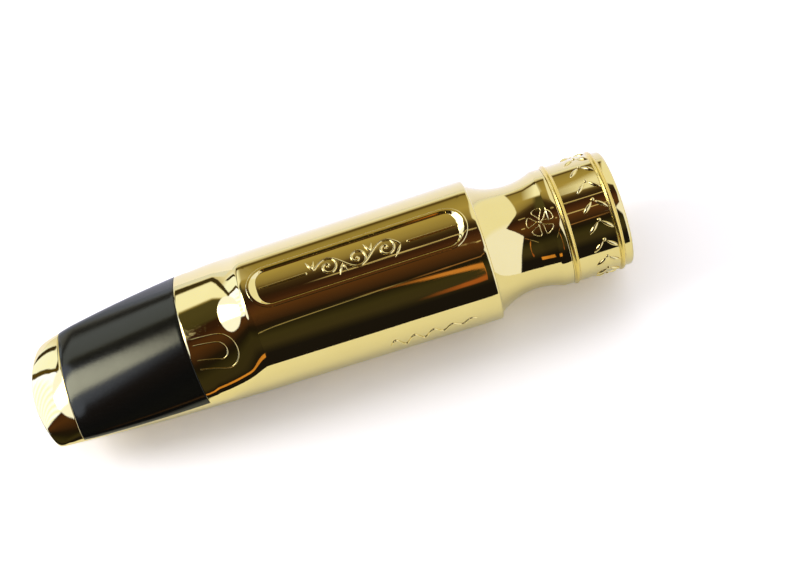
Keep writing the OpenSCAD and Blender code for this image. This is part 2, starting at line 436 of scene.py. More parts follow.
def beakSection(x, inset=0.0):
    # leaning sections of the beak, [station, column]
    angles = sectionAngles(x, creaseAngle(x))
    share = (x - plateFrontX) / (plateRearX - plateFrontX)
    front, rear = body["plateFrontShift"], body["plateRearShift"]
    upright = (x + front + (rear - front) * share)[:, None]
    points = raySurface(upright, angles, inset)
    for _ in range(3):
        points = raySurface(upright - body["plateLean"] * points[..., 2], angles, inset)
    return points if np.any(inset) else tableEdged(points)


def settle(points, inPlane, steps=12):
    # moves points along the slope of the depth, or along its level part, until they lie on the surface
    p = points.copy()
    h = 1e-4
    for _ in range(steps):
        x, y, z = p[..., 0], p[..., 1], p[..., 2]
        value = bodyDepth(x, y, z)
        slope = np.stack([bodyDepth(x + h, y, z) - bodyDepth(x - h, y, z),
                          bodyDepth(x, y + h, z) - bodyDepth(x, y - h, z),
                          bodyDepth(x, y, z + h) - bodyDepth(x, y, z - h)], -1) / (2 * h)
        slope[..., 2] *= 1 - inPlane
        step = value / np.maximum((slope ** 2).sum(-1), 0.05)
        p -= np.clip(step, -0.3, 0.3)[..., None] * slope
        p[..., 1] = np.maximum(p[..., 1], 0)
    return p


def tipOutlinePoints(share):
    # points along the tip's outline, from its middle (0) into the round corner (1)
    front = tip["radius"] * cornerTurn
    total = front + 0.5 * tip["cornerRadius"] * (math.pi / 2 - cornerTurn)
    run = share * total
    turn = np.where(run < front, run / tip["radius"], cornerTurn + (run - front) / tip["cornerRadius"])
    onFront = np.stack([arcX - tip["radius"] * np.cos(turn), tip["radius"] * np.sin(turn)], -1)
    onCorner = np.stack([cornerX - tip["cornerRadius"] * np.cos(turn),
                         cornerY + tip["cornerRadius"] * np.sin(turn)], -1)
    return np.where((run < front)[..., None], onFront, onCorner)


def crownHeight(x, y):
    # height of the crown over a place in plan
    return bisect(lambda z: crownDepth(x, y, z) > 0, np.full(x.shape, -9.0), np.full(x.shape, 6.0))


def tipBlock(shell, firstStation):
    # the tip: stations bend from the straight plate line into the outline seen from above
    na = body["tipStations"]
    a = spaced(0, 1, na, endSize=0.012)
    startPlan = firstStation[:nTop + 1, :2]
    share = startPlan[:, 1] / startPlan[-1, 1]
    endPlan = tipOutlinePoints(share)
    plan = startPlan + a[:, None, None] * (endPlan - startPlan)
    sideX = plan[:, -1, 0]
    widest = sectionCircle(sideX)[0]
    sideY = bisect(lambda y: np.minimum(widest - y - 0.05, outlineDepth(sideX, y)) > 0,
                   np.full(na + 1, 5.0), np.full(na + 1, 12.0))
    plan[:, :, 1] *= 1 + (sideY / plan[:, -1, 1] - 1)[:, None] * topShare ** 2
    plan[0] = startPlan
    plan[-1] = endPlan
    top = np.dstack([plan, crownHeight(plan[..., 0], plan[..., 1])])
    top = settle(top, 0.0)
    top[0] = firstStation[:nTop + 1]
    heights = firstStation[nTop:, 2]
    bottom0 = heights[-1]
    fall = (heights[0] - heights) / (heights[0] - bottom0)

    def wall(edge):
        # points down a side wall or the front wall below the points of an edge, [edge point, row]
        x = np.broadcast_to(edge[:, None, 0], (len(edge), nSide + 1))
        y = np.broadcast_to(edge[:, None, 1], x.shape)
        z = edge[:, 2, None] + (tableHeight(edge[:, 0]) - edge[:, 2])[:, None] * fall
        flat = settle(np.dstack([x, y, z]), 1.0)
        flat[:, 0] = edge
        flat[:, -1, 2] = tableHeight(flat[:, -1, 0])
        return flat
    side = wall(top[:, -1])
    side[0] = firstStation[nTop:]
    front = wall(top[-1])
    front[-1] = side[-1]
    front[0, :, 1] = 0
    top[:, 0, 1] = 0
    shell.grid(np.concatenate([top, side[:, 1:]], 1))
    shell.grid(front[::-1])
    # underside: the same plan, drawn in to the lower edges
    under = top.copy()
    startX = startPlan[:, 0]
    reach = (front[:, -1, 0] - startX) / (top[-1, :, 0] - startX)
    under[..., 0] = startX + (top[..., 0] - startX) * reach
    under[..., 1] *= (side[:, -1, 1] / top[:, -1, 1])[:, None]
    under[-1] = front[:, -1]
    under[:, -1] = side[:, -1]
    under[..., 2] = tableHeight(under[..., 0])
    shell.grid(under[:, ::-1])
    return under[0]


def panelPatch(shell, shares, stationX, frontRun):
    # rings round the sunk panel, from a square frame in the barrel's grid down to the middle of its floor
    rho = panel["halfWidth"]
    sideY = framePhi * meanRadius
    rowY = shares * cornerPhi * meanRadius
    n = len(rowY) - 1
    frontTurn = np.linspace(np.pi, math.atan2(sideY, stationX[0] - panelFrontX), n + 1)
    bendFront = np.linspace(frontTurn[-1], np.pi / 2, frontRun + 1)[1:]
    run = stationX[frontRun + 1:-frontRun - 1]
    rearTurn = np.linspace(math.atan2(sideY, stationX[-1] - panelRearX), 0, n + 1)
    bendRear = np.linspace(np.pi / 2, rearTurn[0], frontRun + 1)[:-1]
    turn = np.concatenate([frontTurn, bendFront, np.full(len(run), np.pi / 2), bendRear, rearTurn])
    bendSize = n + 1 + frontRun
    centreX = np.concatenate([np.full(bendSize, panelFrontX), run, np.full(bendSize, panelRearX)])
    normal = np.stack([np.cos(turn), np.sin(turn)], -1)
    squareX = np.concatenate([np.full(n + 1, stationX[0]), stationX[1:-1], np.full(n + 1, stationX[-1])])
    squareY = np.concatenate([rowY, np.full(len(stationX) - 2, rowY[-1]), rowY[::-1]])
    square = np.stack([squareX, squareY], -1)
    base = np.stack([centreX, np.zeros(len(centreX))], -1)

    def ring(distance):
        return base + np.reshape(rho + distance, (-1, 1)) * normal
    lean = 1 / math.tan(math.radians(panel["sideSlope"]))
    lean = lean + (1 / math.tan(math.radians(panel["endSlope"])) - lean) * normal[:, 0] ** 2
    slope = np.arctan2(1, lean)
    bend = panel["edgeRound"]
    bendDepth = bend * (1 - np.cos(slope))
    high = panel["lipHeight"]
    straight = panel["depth"] + high - 2 * bendDepth
    wallWidth = 2 * bend * np.sin(slope) + straight * lean
    rings, lifts = [], []

    def addRing(points, lift):
        rings.append(points)
        lifts.append(np.broadcast_to(lift, len(turn)))
    for t in (0, 0.35, 0.7):
        addRing(square + t * (ring(panel["rimFlat"]) - square), 0.0)
    addRing(ring(panel["rimFlat"]), 0.0)
    for inwards, share in panel["lipRings"]:
        addRing(ring(panel["lipWidth"] - inwards), high * share)
    # the wall: a round edge, a straight slope and a round foot
    for t in (0.2, 0.4, 0.6, 0.8, 1.0):
        addRing(ring(-bend * np.sin(slope * t)), high + bend * (np.cos(slope * t) - 1))
    for t in (0.25, 0.5, 0.75):
        addRing(ring(-bend * np.sin(slope) - straight * lean * t), high - bendDepth - straight * t)
    for t in (1.0, 0.8, 0.6, 0.4, 0.2):
        addRing(ring(-wallWidth + bend * np.sin(slope * t)),
                -panel["depth"] + bend * (1 - np.cos(slope * t)))
    for t in panel["floorRings"]:
        addRing(ring(-wallWidth - (rho - wallWidth) * t), -panel["depth"])
    flat = np.array(rings)
    shell.grid(circlePoint(flat[..., 0], flat[..., 1] / meanRadius, np.array(lifts)))


def buildBody():
    shell = Shell()
    # plate zone, with the pocket's steps as doubled stations and columns
    plateX = np.linspace(plateFrontX, plateRearX, body["plateStations"] + 1)
    outer = beakSection(plateX)
    inner = beakSection(plateX, body["plateThickness"])
    # the metal's edge is broken at both ends of the pocket
    broken = body["rimChamfer"]
    bow = np.linspace(0, np.pi / 2, 5)
    onRim = np.clip((edgeColumn - np.arange(nTop + nSide + 1)) / 2.0, 0, 1)
    cut = (broken * (1 - np.cos(bow)))[:, None] * onRim
    frontRim = beakSection(plateFrontX - broken + broken * np.sin(bow), cut + 1e-9)
    rearRim = beakSection(plateRearX + broken - broken * np.sin(bow[::-1]), cut[::-1] + 1e-9)
    tableEdged(frontRim)
    tableEdged(rearRim)
    outer[0], outer[-1] = frontRim[-1], rearRim[0]
    shell.grid(frontRim)
    shell.grid(rearRim)
    pocket = slice(edgeColumn + 1)
    shell.grid(np.concatenate([inner[:, pocket], outer[:, edgeColumn:]], 1))
    shell.grid(np.stack([outer[0, pocket], inner[0, pocket]]))
    shell.grid(np.stack([inner[-1, pocket], outer[-1, pocket]]))
    underFirst = tipBlock(shell, frontRim[0])
    # ramp from the plate to the ridge, its stations bending into the ridge's line
    tau = spaced(0, 1, body["rampStations"], endSize=0.006)
    ridgeTop = ridgeLine(topShare * cornerPhi)
    endX = np.concatenate([ridgeTop, np.full(nSide, cornerRidgeX)])
    startRow = rearRim[-1]
    gridX = startRow[:, 0] + tau[:, None] * (endX - startRow[:, 0])
    crease = creaseAngle(gridX[:, -1])
    crease[-1] = cornerPhi
    ramp = tableEdged(raySurface(gridX, sectionAngles(gridX[:, -1], crease)))
    ramp[0] = startRow
    shell.grid(ramp)
    # barrel: from the ridge's line to the panel's frame, past it, and on to the shoulder
    frameFront, frameRear = ridgeX + body["frameFront"], shoulderX - body["frameRear"]
    ease = spaced(0, 1, body["ridgeStations"], startSize=0.05)
    frontX = endX + ease[:, None] * (frameFront - endX)
    frontAngles = np.concatenate([
        np.broadcast_to(topShare * cornerPhi, (len(ease), nTop + 1)),
        sectionAngles(frontX[:, -1], np.full(len(ease), cornerPhi))[:, nTop + 1:]], 1)
    front = tableEdged(raySurface(frontX, frontAngles))
    shell.grid(front)
    bend = body["frameBend"]
    stationX = np.concatenate([
        np.linspace(frameFront, panelFrontX, bend + 2)[:-1],
        np.linspace(panelFrontX, panelRearX, body["frameRun"]),
        np.linspace(panelRearX, frameRear, bend + 2)[1:]])
    tableStation = int(np.argmin(np.abs(stationX - landX)))
    stationX[tableStation] = landX
    longAngles = sectionAngles(stationX, np.full(len(stationX), cornerPhi))
    side = tableEdged(raySurface(stationX[:, None], longAngles))
    shell.grid(side[:, body["panelColumns"]:])
    panelPatch(shell, topShare[:body["panelColumns"] + 1], stationX, bend)
    # the round shoulder's stations, each with its own small inset
    roundR = body["shoulderRound"]
    bow = np.linspace(0, np.pi / 2, 7)
    shoulderXs = np.concatenate([[frameRear], shoulderX - roundR + roundR * np.sin(bow)])
    insets = np.concatenate([[0.0], roundR * (1 - np.cos(bow))])
    lastAngles = sectionAngles(shoulderXs, np.full(len(shoulderXs), cornerPhi))
    rear = raySurface(shoulderXs[:, None], lastAngles, insets[:, None])
    shell.grid(rear)
    # full round land behind the table
    landXs = np.concatenate([stationX[tableStation:], shoulderXs[1:]])
    landInsets = np.concatenate([np.zeros(len(stationX) - tableStation), insets[1:]])
    turn = sideAngle(landXs, np.full(len(landXs), -tip["tableDrop"]))
    landPhi = turn[:, None] + (np.pi - turn)[:, None] * np.linspace(0, 1, body["landColumns"] + 1)
    land = raySurface(landXs[:, None], landPhi, landInsets[:, None])
    land[:, -1, 1] = 0
    shell.grid(land)
    # flat faces: table strips, the land's front, the whole rear face
    line = np.concatenate([frontRim[:, -1], outer[1:-1, -1], rearRim[:, -1], ramp[1:, -1], front[1:, -1],
                           side[1:tableStation + 1, -1]])
    middle = line * [1, 0, 1]
    for i in range(1, len(line) - 1):
        shell.polygon([line[i], middle[i], middle[i + 1], line[i + 1]])
    shell.polygon(np.concatenate([[line[1]], underFirst[::-1], [middle[1]]]))
    shell.polygon(np.concatenate([land[0], [[landX, 0, -tip["tableDrop"]]]]))
    shell.polygon(np.concatenate([rear[-1], land[-1][1:]]))
    shell.mirrorY()
    return shell


passage = {
    "tipRail": 1.5,          # metal left in front of the window
    "windowLength": 43.5,
    "windowFront": 13.6,
    "windowRear": 12.4,
    "baffleLift": 0.35,      # the roof's height over the tip rail
    "baffleSlope": 16.5,     # degrees
    "chamberRadius": 6.6,
    "chamberLift": 1.0,
    "spigotLength": 4.6,
    "socketRadius": 9.95,
}


def extruded(outline, low, high):
    # closed prism over a plan outline [point, (x, y)], from height low up to each point's own height
    shell = Shell()
    bottom = np.column_stack([outline, np.full(len(outline), low)])
    top = np.column_stack([outline, high])
    shell.grid(np.stack([bottom, top]), closeRows=True)
    shell.polygon(bottom[::-1])
    shell.polygon(top)
    return shell


def tube(radius, fromX, toX, centreZ, sides=96):
    # closed cylinder along X
    shell = Shell()
    a = np.linspace(0, 2 * np.pi, sides, endpoint=False)
    shell.rod(np.stack([
        np.stack([np.full(sides, x), radius * np.cos(a), centreZ + radius * np.sin(a)], -1)
        for x in (fromX, toX)]))
    return shell


def cutAway(piece, shell):
    # takes a closed shell out of a piece
    cutter = addRaw("cutter", shell)
    cut = piece.modifiers.new("cut", "BOOLEAN")
    cut.operation, cut.solver, cut.object = "DIFFERENCE", "EXACT", cutter
    bpy.context.view_layer.update()
    result = bpy.data.meshes.new_from_object(piece.evaluated_get(bpy.context.evaluated_depsgraph_get()))
    piece.modifiers.clear()
    old = piece.data
    piece.data = result
    bpy.data.meshes.remove(old)
    bpy.data.objects.remove(cutter)
    work = bmesh.new()
    work.from_mesh(piece.data)
    bmesh.ops.remove_doubles(work, verts=work.verts, dist=2e-6)
    work.to_mesh(piece.data)
    work.free()


def buildPassage(piece):
    frontX = tipX + passage["tipRail"]
    rearX = frontX + passage["windowLength"]
    r = passage["windowRear"] / 2
    a = np.linspace(-np.pi / 2, np.pi / 2, 33)
    outline = np.concatenate([
        [[frontX, -passage["windowFront"] / 2]],
        np.stack([rearX - r + r * np.cos(a), r * np.sin(a)], -1),
        [[frontX, passage["windowFront"] / 2]]])
    roof = (-tip["tableDrop"] + tip["opening"] + passage["baffleLift"]
            + (outline[:, 0] - frontX) * math.tan(math.radians(passage["baffleSlope"])))
    cutAway(piece, extruded(outline, -14.0, roof))
    cutAway(piece, tube(passage["chamberRadius"], rearX - r, shoulderX - passage["spigotLength"] + 0.5,
                        passage["chamberLift"]))
    cutAway(piece, tube(passage["socketRadius"], shoulderX - passage["spigotLength"], shoulderX + 2, 0.0))


def buildPlate():
    # the plate's outer and inner skins, its ends eased by small steps of depth and place
    shell = Shell()
    roundness = np.array([[0.10, 0.0], [0.045, 0.03], [0.012, 0.09], [0.0, 0.2]])
    x = np.concatenate([plateFrontX + roundness[:, 1], np.linspace(plateFrontX, plateRearX, 60)[2:-2],
                        plateRearX - roundness[::-1, 1]])
    inset = np.concatenate([roundness[:, 0], np.zeros(len(x) - 2 * len(roundness)), roundness[::-1, 0]])
    outer = beakSection(x, inset[:, None] + 1e-9)[:, :edgeColumn + 1]
    inner = beakSection(x, body["plateThickness"] - body["bondGap"])[:, :edgeColumn + 1]
    shell.grid(outer)
    shell.grid(inner)
    for line in ((outer[0], inner[0]), (outer[-1], inner[-1]), (outer[:, -1], inner[:, -1])):
        shell.grid(np.stack(line))
    shell.mirrorY()
    return shell


shank = {
    "boreRadius": 8.0,
    "seatRadius": 8.85,
    "neckRadius": 8.7,
    "coveRadius": 10.8,
    "neckFromShoulder": 6.45,    # the neck's narrowest place
    "spigotRadius": 9.9,
    "mouthRound": 0.35,
    "edgeRound": 0.12,
}
collar = {
    "radius": 9.6,
    "boreRadius": 8.9,
    "rearBead": 1.9,         # its middle, from the open end
    "beadWidth": 0.9,
    "beadHeight": 0.28,
    "beadFillet": 0.12,
    "lipStep": 0.15,         # behind the rear bead the collar is this much thinner
    "lipRound": 0.55,
}
beadX = (collarX + collar["beadWidth"] / 2 + collar["beadFillet"], -collar["rearBead"])


def arc(centreX, centreR, radius, fromDegrees, toDegrees, count):
    # points of a profile's arc, [x, distance from the axis]
    a = np.radians(np.linspace(fromDegrees, toDegrees, count))
    return np.stack([centreX + radius * np.cos(a), centreR + radius * np.sin(a)], -1)


def turned(profile, sides=240):
    # closed ring: a profile [x, distance from the axis] turned about the axis
    shell = Shell()
    a = np.linspace(0, 2 * np.pi, sides, endpoint=False)
    loop = np.concatenate([profile, profile[:1]])
    x = np.broadcast_to(loop[:, :1], (len(loop), sides))
    r = loop[:, 1:]
    shell.grid(np.stack([x, r * np.sin(a), r * np.cos(a)], -1), closeRows=True)
    return shell


def buildShank():
    neckX = shoulderX + shank["neckFromShoulder"]
    coveR = shank["neckRadius"] + shank["coveRadius"]
    coveEnd = math.degrees(math.asin((neckX - shoulderX) / shank["coveRadius"]))
    meet = math.degrees(math.acos((coveR - collar["radius"]) / shank["coveRadius"]))
    m, e = shank["mouthRound"], shank["edgeRound"]
    return turned(np.concatenate([
        arc(-m, shank["boreRadius"] + m, m, -90, 0, 6),
        [[0, shank["seatRadius"]], [collarX, shank["seatRadius"]], [collarX, collar["radius"] - e]],
        arc(collarX - e, collar["radius"] - e, e, 0, 90, 5)[1:],
        arc(neckX, coveR, shank["coveRadius"], -90 + meet, -90 - coveEnd, 60),
        [[shoulderX, shank["spigotRadius"]],
         [shoulderX - passage["spigotLength"], shank["spigotRadius"]],
         [shoulderX - passage["spigotLength"], shank["boreRadius"]]]]))


def bead(middleX, base):
    # a raised half-round bead with small fillets on both sides
    half, height, fillet = collar["beadWidth"] / 2, collar["beadHeight"], collar["beadFillet"]
    x = np.linspace(-half - fillet, half + fillet, 27)
    crownR = collar["radius"] + height - half
    full = np.sqrt(np.maximum(half ** 2 - np.minimum(np.abs(x), half) ** 2, 0)) + crownR
    r = np.maximum(full, base)
    r = (np.roll(r, 1) + 2 * r + np.roll(r, -1)) / 4
    r[0] = r[-1] = base
    return np.stack([middleX - x, r], -1)


def buildCollar():
    lip = collar["radius"] - collar["lipStep"]
    front, rear = beadX
    return turned(np.concatenate([
        [[0, collar["boreRadius"]]],
        arc(-collar["lipRound"], lip - collar["lipRound"], collar["lipRound"], 0, 90, 9),
        bead(rear, lip)[:14],
        bead(rear, collar["radius"])[14:],
        bead(front, collar["radius"]),
        [[collarX, collar["boreRadius"]]]]))


def strand(shell, points, outward, radius, sides=8):
    # a round wire: circles of the given radii across a path, standing on the outward directions
    along = np.gradient(points, axis=0)
    along /= np.linalg.norm(along, axis=1)[:, None]
    side = np.cross(along, outward)
    side /= np.linalg.norm(side, axis=1)[:, None]
    up = np.cross(side, along)
    a = np.linspace(0, 2 * np.pi, sides, endpoint=False)
    radius = np.broadcast_to(radius, len(points))[:, None, None]
    c, s = np.cos(a)[:, None], np.sin(a)[:, None]
    rings = points[:, None] + radius * (c * up[:, None] + s * side[:, None])
    shell.rod(rings)


def radial(phi):
    # the outward directions at angles from the top
    return np.stack([np.zeros_like(phi), np.sin(phi), np.cos(phi)], -1)


def drop(shell, centre, outward, radius, height):
    # a small round dome: its height falls off as a half circle's does, its foot is sunk in
    rings, sides, sunk = 5, 20, 0.03
    t = np.linspace(0, 1, rings + 1)[1:, None]
    a = np.linspace(0, 2 * np.pi, sides, endpoint=False)[None]
    u = t * np.cos(a) * radius
    v = t * np.sin(a) * radius
    lift = height * np.sqrt(np.maximum(1 - t * t, 0)) - sunk + 0 * a
    across = np.cross(outward, [1, 0, 0])
    top = centre + u[..., None] * np.array([1, 0, 0]) + v[..., None] * across + lift[..., None] * outward
    middle = centre + (height - sunk) * outward
    foot = top[-1] - 4 * sunk * outward
    shell.grid(np.concatenate([np.broadcast_to(middle, (1, sides, 3)), top, foot[None]]), closeRows=True)
    shell.polygon(foot)


def panelPoint(u, v, lift):
    # a place on the panel's floor, u along it from its middle, v across it
    middle = (panelFrontX + panelRearX) / 2
    phi = v / meanRadius
    return circlePoint(middle + u, phi, lift - panel["depth"]), radial(phi)


scroll = {
    "pitch": 4.7,            # length of one hump
    "humps": 3,
    "height": 1.45,
    "wire": 0.19,
    "lift": 0.05,            # of the wire's middle over the floor
    "spiralTurns": 1.2,
    "leaf": 1.6,
    "leafLift": 0.02,
    "leafSplays": (-0.55, 0.1),
    "berry": 0.24,
    "berryHeight": 0.2,
}


def buildScroll():
    # a running scroll: a waving stem, a spiral in each hump and a leaf at each crossing
    shell = Shell()
    pitch, humps, height, wire = (scroll[key] for key in ("pitch", "humps", "height", "wire"))
    half = pitch * humps / 2
    t = np.linspace(0, 1, 40 * humps)
    u = -half + 2 * half * t
    v = height * np.sin(np.pi * (u + half) / pitch)
    points, outward = panelPoint(u, v, scroll["lift"])
    strand(shell, points, outward, wire * np.clip(np.minimum(t, 1 - t) * 30 + 0.3, 0, 1))
    for hump in range(humps):
        way = 1 - 2 * (hump % 2)
        centre = -half + (hump + 0.5) * pitch
        t = np.linspace(0, 1, 64)
        turn = way * (np.pi / 2 - 2 * np.pi * scroll["spiralTurns"] * t)
        reach = height * (0.92 * (1 - t) ** 0.85 + 0.16)
        points, outward = panelPoint(centre + reach * np.cos(turn), reach * np.sin(turn), scroll["lift"])
        strand(shell, points, outward, wire * (0.75 + 0.45 * np.sin(np.pi * t)))
        seat, out = panelPoint(np.array([centre]), np.array([0.0]), scroll["leafLift"])
        drop(shell, seat[0], out[0], scroll["berry"], scroll["berryHeight"])
    for crossing in range(humps + 1):
        way = 1 - 2 * (crossing % 2)
        last = crossing == humps
        for splay in scroll["leafSplays"][:1 if last else 2]:
            t = np.linspace(0, 1, 16)
            run = scroll["leaf"] * t * (1.35 if splay < 0 else 1)
            curl = 0.25 * t * t * (-1 if last else 1)
            u = -half + crossing * pitch + run * math.sin(splay) + curl
            v = way * (0.15 + run * math.cos(splay))
            points, outward = panelPoint(u, v, scroll["leafLift"])
            strand(shell, points, outward, 0.05 + 0.17 * np.sin(np.pi * t ** 0.8) ** 1.2)
    return shell


bars = {
    "from": 8.3,             # from the panel's middle
    "to": 15.9,
    "wire": 0.18,
    "lift": 0.09,
    "berry": 0.26,
    "berryHeight": 0.24,
}


def buildBars():
    # a slim bar on each side of the scroll, with a berry at its inner end
    shell = Shell()
    for way in (-1, 1):
        u = way * np.linspace(bars["from"], bars["to"], 40)
        t = np.linspace(0, 1, 40)
        points, outward = panelPoint(u, 0 * u, bars["lift"])
        strand(shell, points, outward, bars["wire"] * (1 - 0.35 * t), 12)
        seat, out = panelPoint(u[:1], 0 * u[:1], 0.0)
        drop(shell, seat[0], out[0], bars["berry"], bars["berryHeight"])
    return shell


arches = {
    "turn": -45.0,           # degrees from the top
    "fromPlate": 0.95,
    "width": 5.6,
    "length": 6.6,
    "wire": 0.1,
    "innerShort": 0.4,       # twice what the inner arch's legs are shorter by
    "rampRadius": 9.2,       # of the ramp under them
}


def buildArches():
    # two arches, one inside the other, on the near side of the ramp
    shell = Shell()
    middle = math.radians(arches["turn"])
    foot = plateRearX + arches["fromPlate"]
    for share in (1.0, 0.5):
        half = arches["width"] * share / 2
        legs = arches["length"] - arches["width"] / 2 - (1 - share) * arches["innerShort"]
        line = np.linspace(0, legs, 24, endpoint=False)
        a = np.linspace(-np.pi / 2, np.pi / 2, 31)
        u = np.concatenate([line, legs + half * np.cos(a), line[::-1]])
        v = np.concatenate([np.full(24, -half), half * np.sin(a), np.full(24, half)])
        phi = middle + v / arches["rampRadius"]
        points = raySurface(foot + u, phi)
        strand(shell, points, radial(phi), arches["wire"], 6)
    return shell


band = {
    "fromEnd": 4.4,          # its middle, from the open end
    "count": 18,
    "leaf": 0.3,             # greatest radius of a leaf
    "berry": 0.32,
    "berryHeight": 0.26,
}


def buildBand():
    # pairs of leaves and a berry in turn round the collar
    shell = Shell()
    x = -band["fromEnd"]
    reach = collar["radius"]
    t = np.linspace(0, 1, 20)
    for i in range(band["count"]):
        middle = 2 * np.pi * i / band["count"]
        for way in (-1, 1):
            phi = middle + (1.1 - 2.3 * t + 0.7 * t * t) / reach
            points = radial(phi) * (reach - 0.04)
            points[:, 0] = x + way * (0.25 + 1.75 * np.sin(1.35 * t))
            strand(shell, points, radial(phi), 0.05 + band["leaf"] * np.sin(np.pi * t ** 0.8))
        turn = middle + 1.35 / reach
        out = np.array([0, math.sin(turn), math.cos(turn)])
        drop(shell, np.array([x, 0, 0]) + out * reach, out, band["berry"], band["berryHeight"])
    return shell


flower = {
    "fromShoulder": 9.2,
    "turn": -17.0,           # degrees from the top
    "petal": 2.1,
    "petals": 5,
    "wire": 0.08,
    "dome": 0.28,
    "domeHeight": 0.22,
}


def neckRadiusAt(x):
    # the hollow neck's radius: a circle's arc round its narrowest place
    middle = shoulderX + shank["neckFromShoulder"]
    return shank["neckRadius"] + shank["coveRadius"] - np.sqrt(shank["coveRadius"] ** 2 - (x - middle) ** 2)


def buildFlower():
    # open petals round a small dome, on top of the neck
    shell = Shell()
    centreX = shoulderX + flower["fromShoulder"]
    centreTurn = math.radians(flower["turn"])
    t = np.linspace(0, 1, 40)
    for petal in range(flower["petals"]):
        a = 2 * np.pi * (petal + 0.3) / flower["petals"]
        out = flower["petal"] * (0.16 + 0.84 * np.sin(np.pi * t) ** 0.8)
        across = flower["petal"] * 0.42 * np.sin(2 * np.pi * t) * (0.45 + 0.55 * np.sin(np.pi * t))
        u = out * math.cos(a) - across * math.sin(a)
        v = out * math.sin(a) + across * math.cos(a)
        radius = neckRadiusAt(centreX + u)
        phi = centreTurn + v / shank["neckRadius"]
        points = np.stack([centreX + u, radius * np.sin(phi), radius * np.cos(phi)], -1)
        strand(shell, points, radial(phi), flower["wire"], 6)
    out = np.array([0, math.sin(centreTurn), math.cos(centreTurn)])
    seat = np.array([centreX, 0, 0]) + neckRadiusAt(centreX) * out
    drop(shell, seat, out, flower["dome"], flower["domeHeight"])
    return shell


wave = {
    "from": -18.5,           # its start, from the shoulder
    "turn": -87.0,           # degrees from the top
    "length": 14.0,
    "swing": 1.1,
    "fall": 0.5,             # how far it sinks on its way
    "humps": 4.5,
    "wire": 0.2,
}


def buildWave():
    # a waving line low on the barrel's side, running out to nothing
    shell = Shell()
    t = np.linspace(0, 1, 220)
    swing = wave["swing"] * np.sin(2 * np.pi * wave["humps"] * t) * (1 - 0.7 * t)
    phi = math.radians(wave["turn"]) + (swing + wave["fall"] * t) / meanRadius
    points = circlePoint(shoulderX + wave["from"] + wave["length"] * t, phi, 0.0)
    strand(shell, points, radial(phi), wave["wire"] * (1 - 0.4 * t))
    return shell


# Shader arithmetic: a Val is a socket that takes part in plain expressions, a Net is one node tree.


class Val:
    def __init__(self, net, socket):
        self.net, self.socket = net, socket

    def __add__(self, other):
        return self.net.math("ADD", self, other)

    def __sub__(self, other):
        return self.net.math("SUBTRACT", self, other)

    def __rsub__(self, other):
        return self.net.math("SUBTRACT", other, self)

    def __mul__(self, other):
        return self.net.math("MULTIPLY", self, other)

    def __truediv__(self, other):
        return self.net.math("DIVIDE", self, other)

    def __pow__(self, other):
        return self.net.math("POWER", self, other)

    def __abs__(self):
        return self.net.math("ABSOLUTE", self)

    def clamped(self):
        return self.net.math("ADD", self, 0.0, True)

    __radd__, __rmul__ = __add__, __mul__


def fade(value, start, end):
    # 0 up to start, 1 from end on and straight between them, also where start is the greater
    return ((value - start) / (end - start)).clamped()


class Net:
    def __init__(self, owner):
        owner.use_nodes = True
        self.tree = owner.node_tree
        self.tree.nodes.clear()

    def node(self, kind, settings=None, inputs=None, out=0):
        # settings come first, then values or links of the sockets; gives back one output
        made = self.tree.nodes.new(kind)
        for key, value in (settings or {}).items():
            if key == "stops":
                ramp = made.color_ramp
                while len(ramp.elements) > 1:
                    ramp.elements.remove(ramp.elements[-1])
                ramp.elements[0].position = value[0][0]
                ramp.elements[0].color = (*value[0][1], 1)
                for place, colour in value[1:]:
                    ramp.elements.new(place).color = (*colour, 1)
            else:
                setattr(made, key, value)
        for key, value in (inputs or {}).items():
            if isinstance(value, Val):
                self.tree.links.new(value.socket, made.inputs[key])
            else:
                made.inputs[key].default_value = value
        return Val(self, made.outputs[out]) if len(made.outputs) else made

    def math(self, operation, a, b=0.0, clamp=False):
        return self.node("ShaderNodeMath", {"operation": operation, "use_clamp": clamp}, {0: a, 1: b})

    def axes(self, vector):
        # the vector's x, y and z
        split = self.node("ShaderNodeSeparateXYZ", None, {0: vector}).socket.node
        return [Val(self, socket) for socket in split.outputs]

    def surface(self, kind, inputs):
        # the shader that the material shows
        self.node("ShaderNodeOutputMaterial", None, {"Surface": self.node(kind, None, inputs)})

    def coords(self, scale=(1, 1, 1), turn=(0, 0, 0)):
        where = self.node("ShaderNodeTexCoord", out="Object")
        return self.node("ShaderNodeMapping", inputs={"Vector": where, "Scale": scale, "Rotation": turn})

    def noise(self, vector, scale, detail=2.0, roughness=0.5):
        return self.node("ShaderNodeTexNoise", None,
                         {"Vector": vector, "Scale": scale, "Detail": detail, "Roughness": roughness})

    def mix(self, factor, a, b):
        # colour a where the factor is 0, b where it is 1
        return self.node("ShaderNodeMix", {"data_type": "RGBA"}, {0: factor, 6: a, 7: b}, out=2)

    def ramp(self, factor, stops, low=0.0, high=1.0):
        # colour by a value between low and high; a plain number stands for a grey
        span = [((place - low) / (high - low), colour if isinstance(colour, tuple) else (colour,) * 3)
                for place, colour in stops]
        return self.node("ShaderNodeValToRGB", {"stops": span}, {0: (factor - low) / (high - low)})

    def curve(self, value, points, low, high, least, most):
        # a line through points, for values from low to high, kept as greys between least and most
        stops = [(place, (given - least) / (most - least)) for place, given in points]
        return self.ramp(value, stops, low, high) * (most - least) + least

    def rays(self):
        # who asks: mirrored rays, and those that reach the eye straight or through something clear
        mirrored, straight, through = (self.node("ShaderNodeLightPath", out=kind) for kind in (
            "Is Glossy Ray", "Is Camera Ray", "Is Transmission Ray"))
        return mirrored, (straight + through).clamped()

    def bump(self, height, distance, under=None):
        inputs = {"Height": height, "Distance": distance, "Strength": 1.0}
        if under:
            inputs["Normal"] = under
        return self.node("ShaderNodeBump", None, inputs)


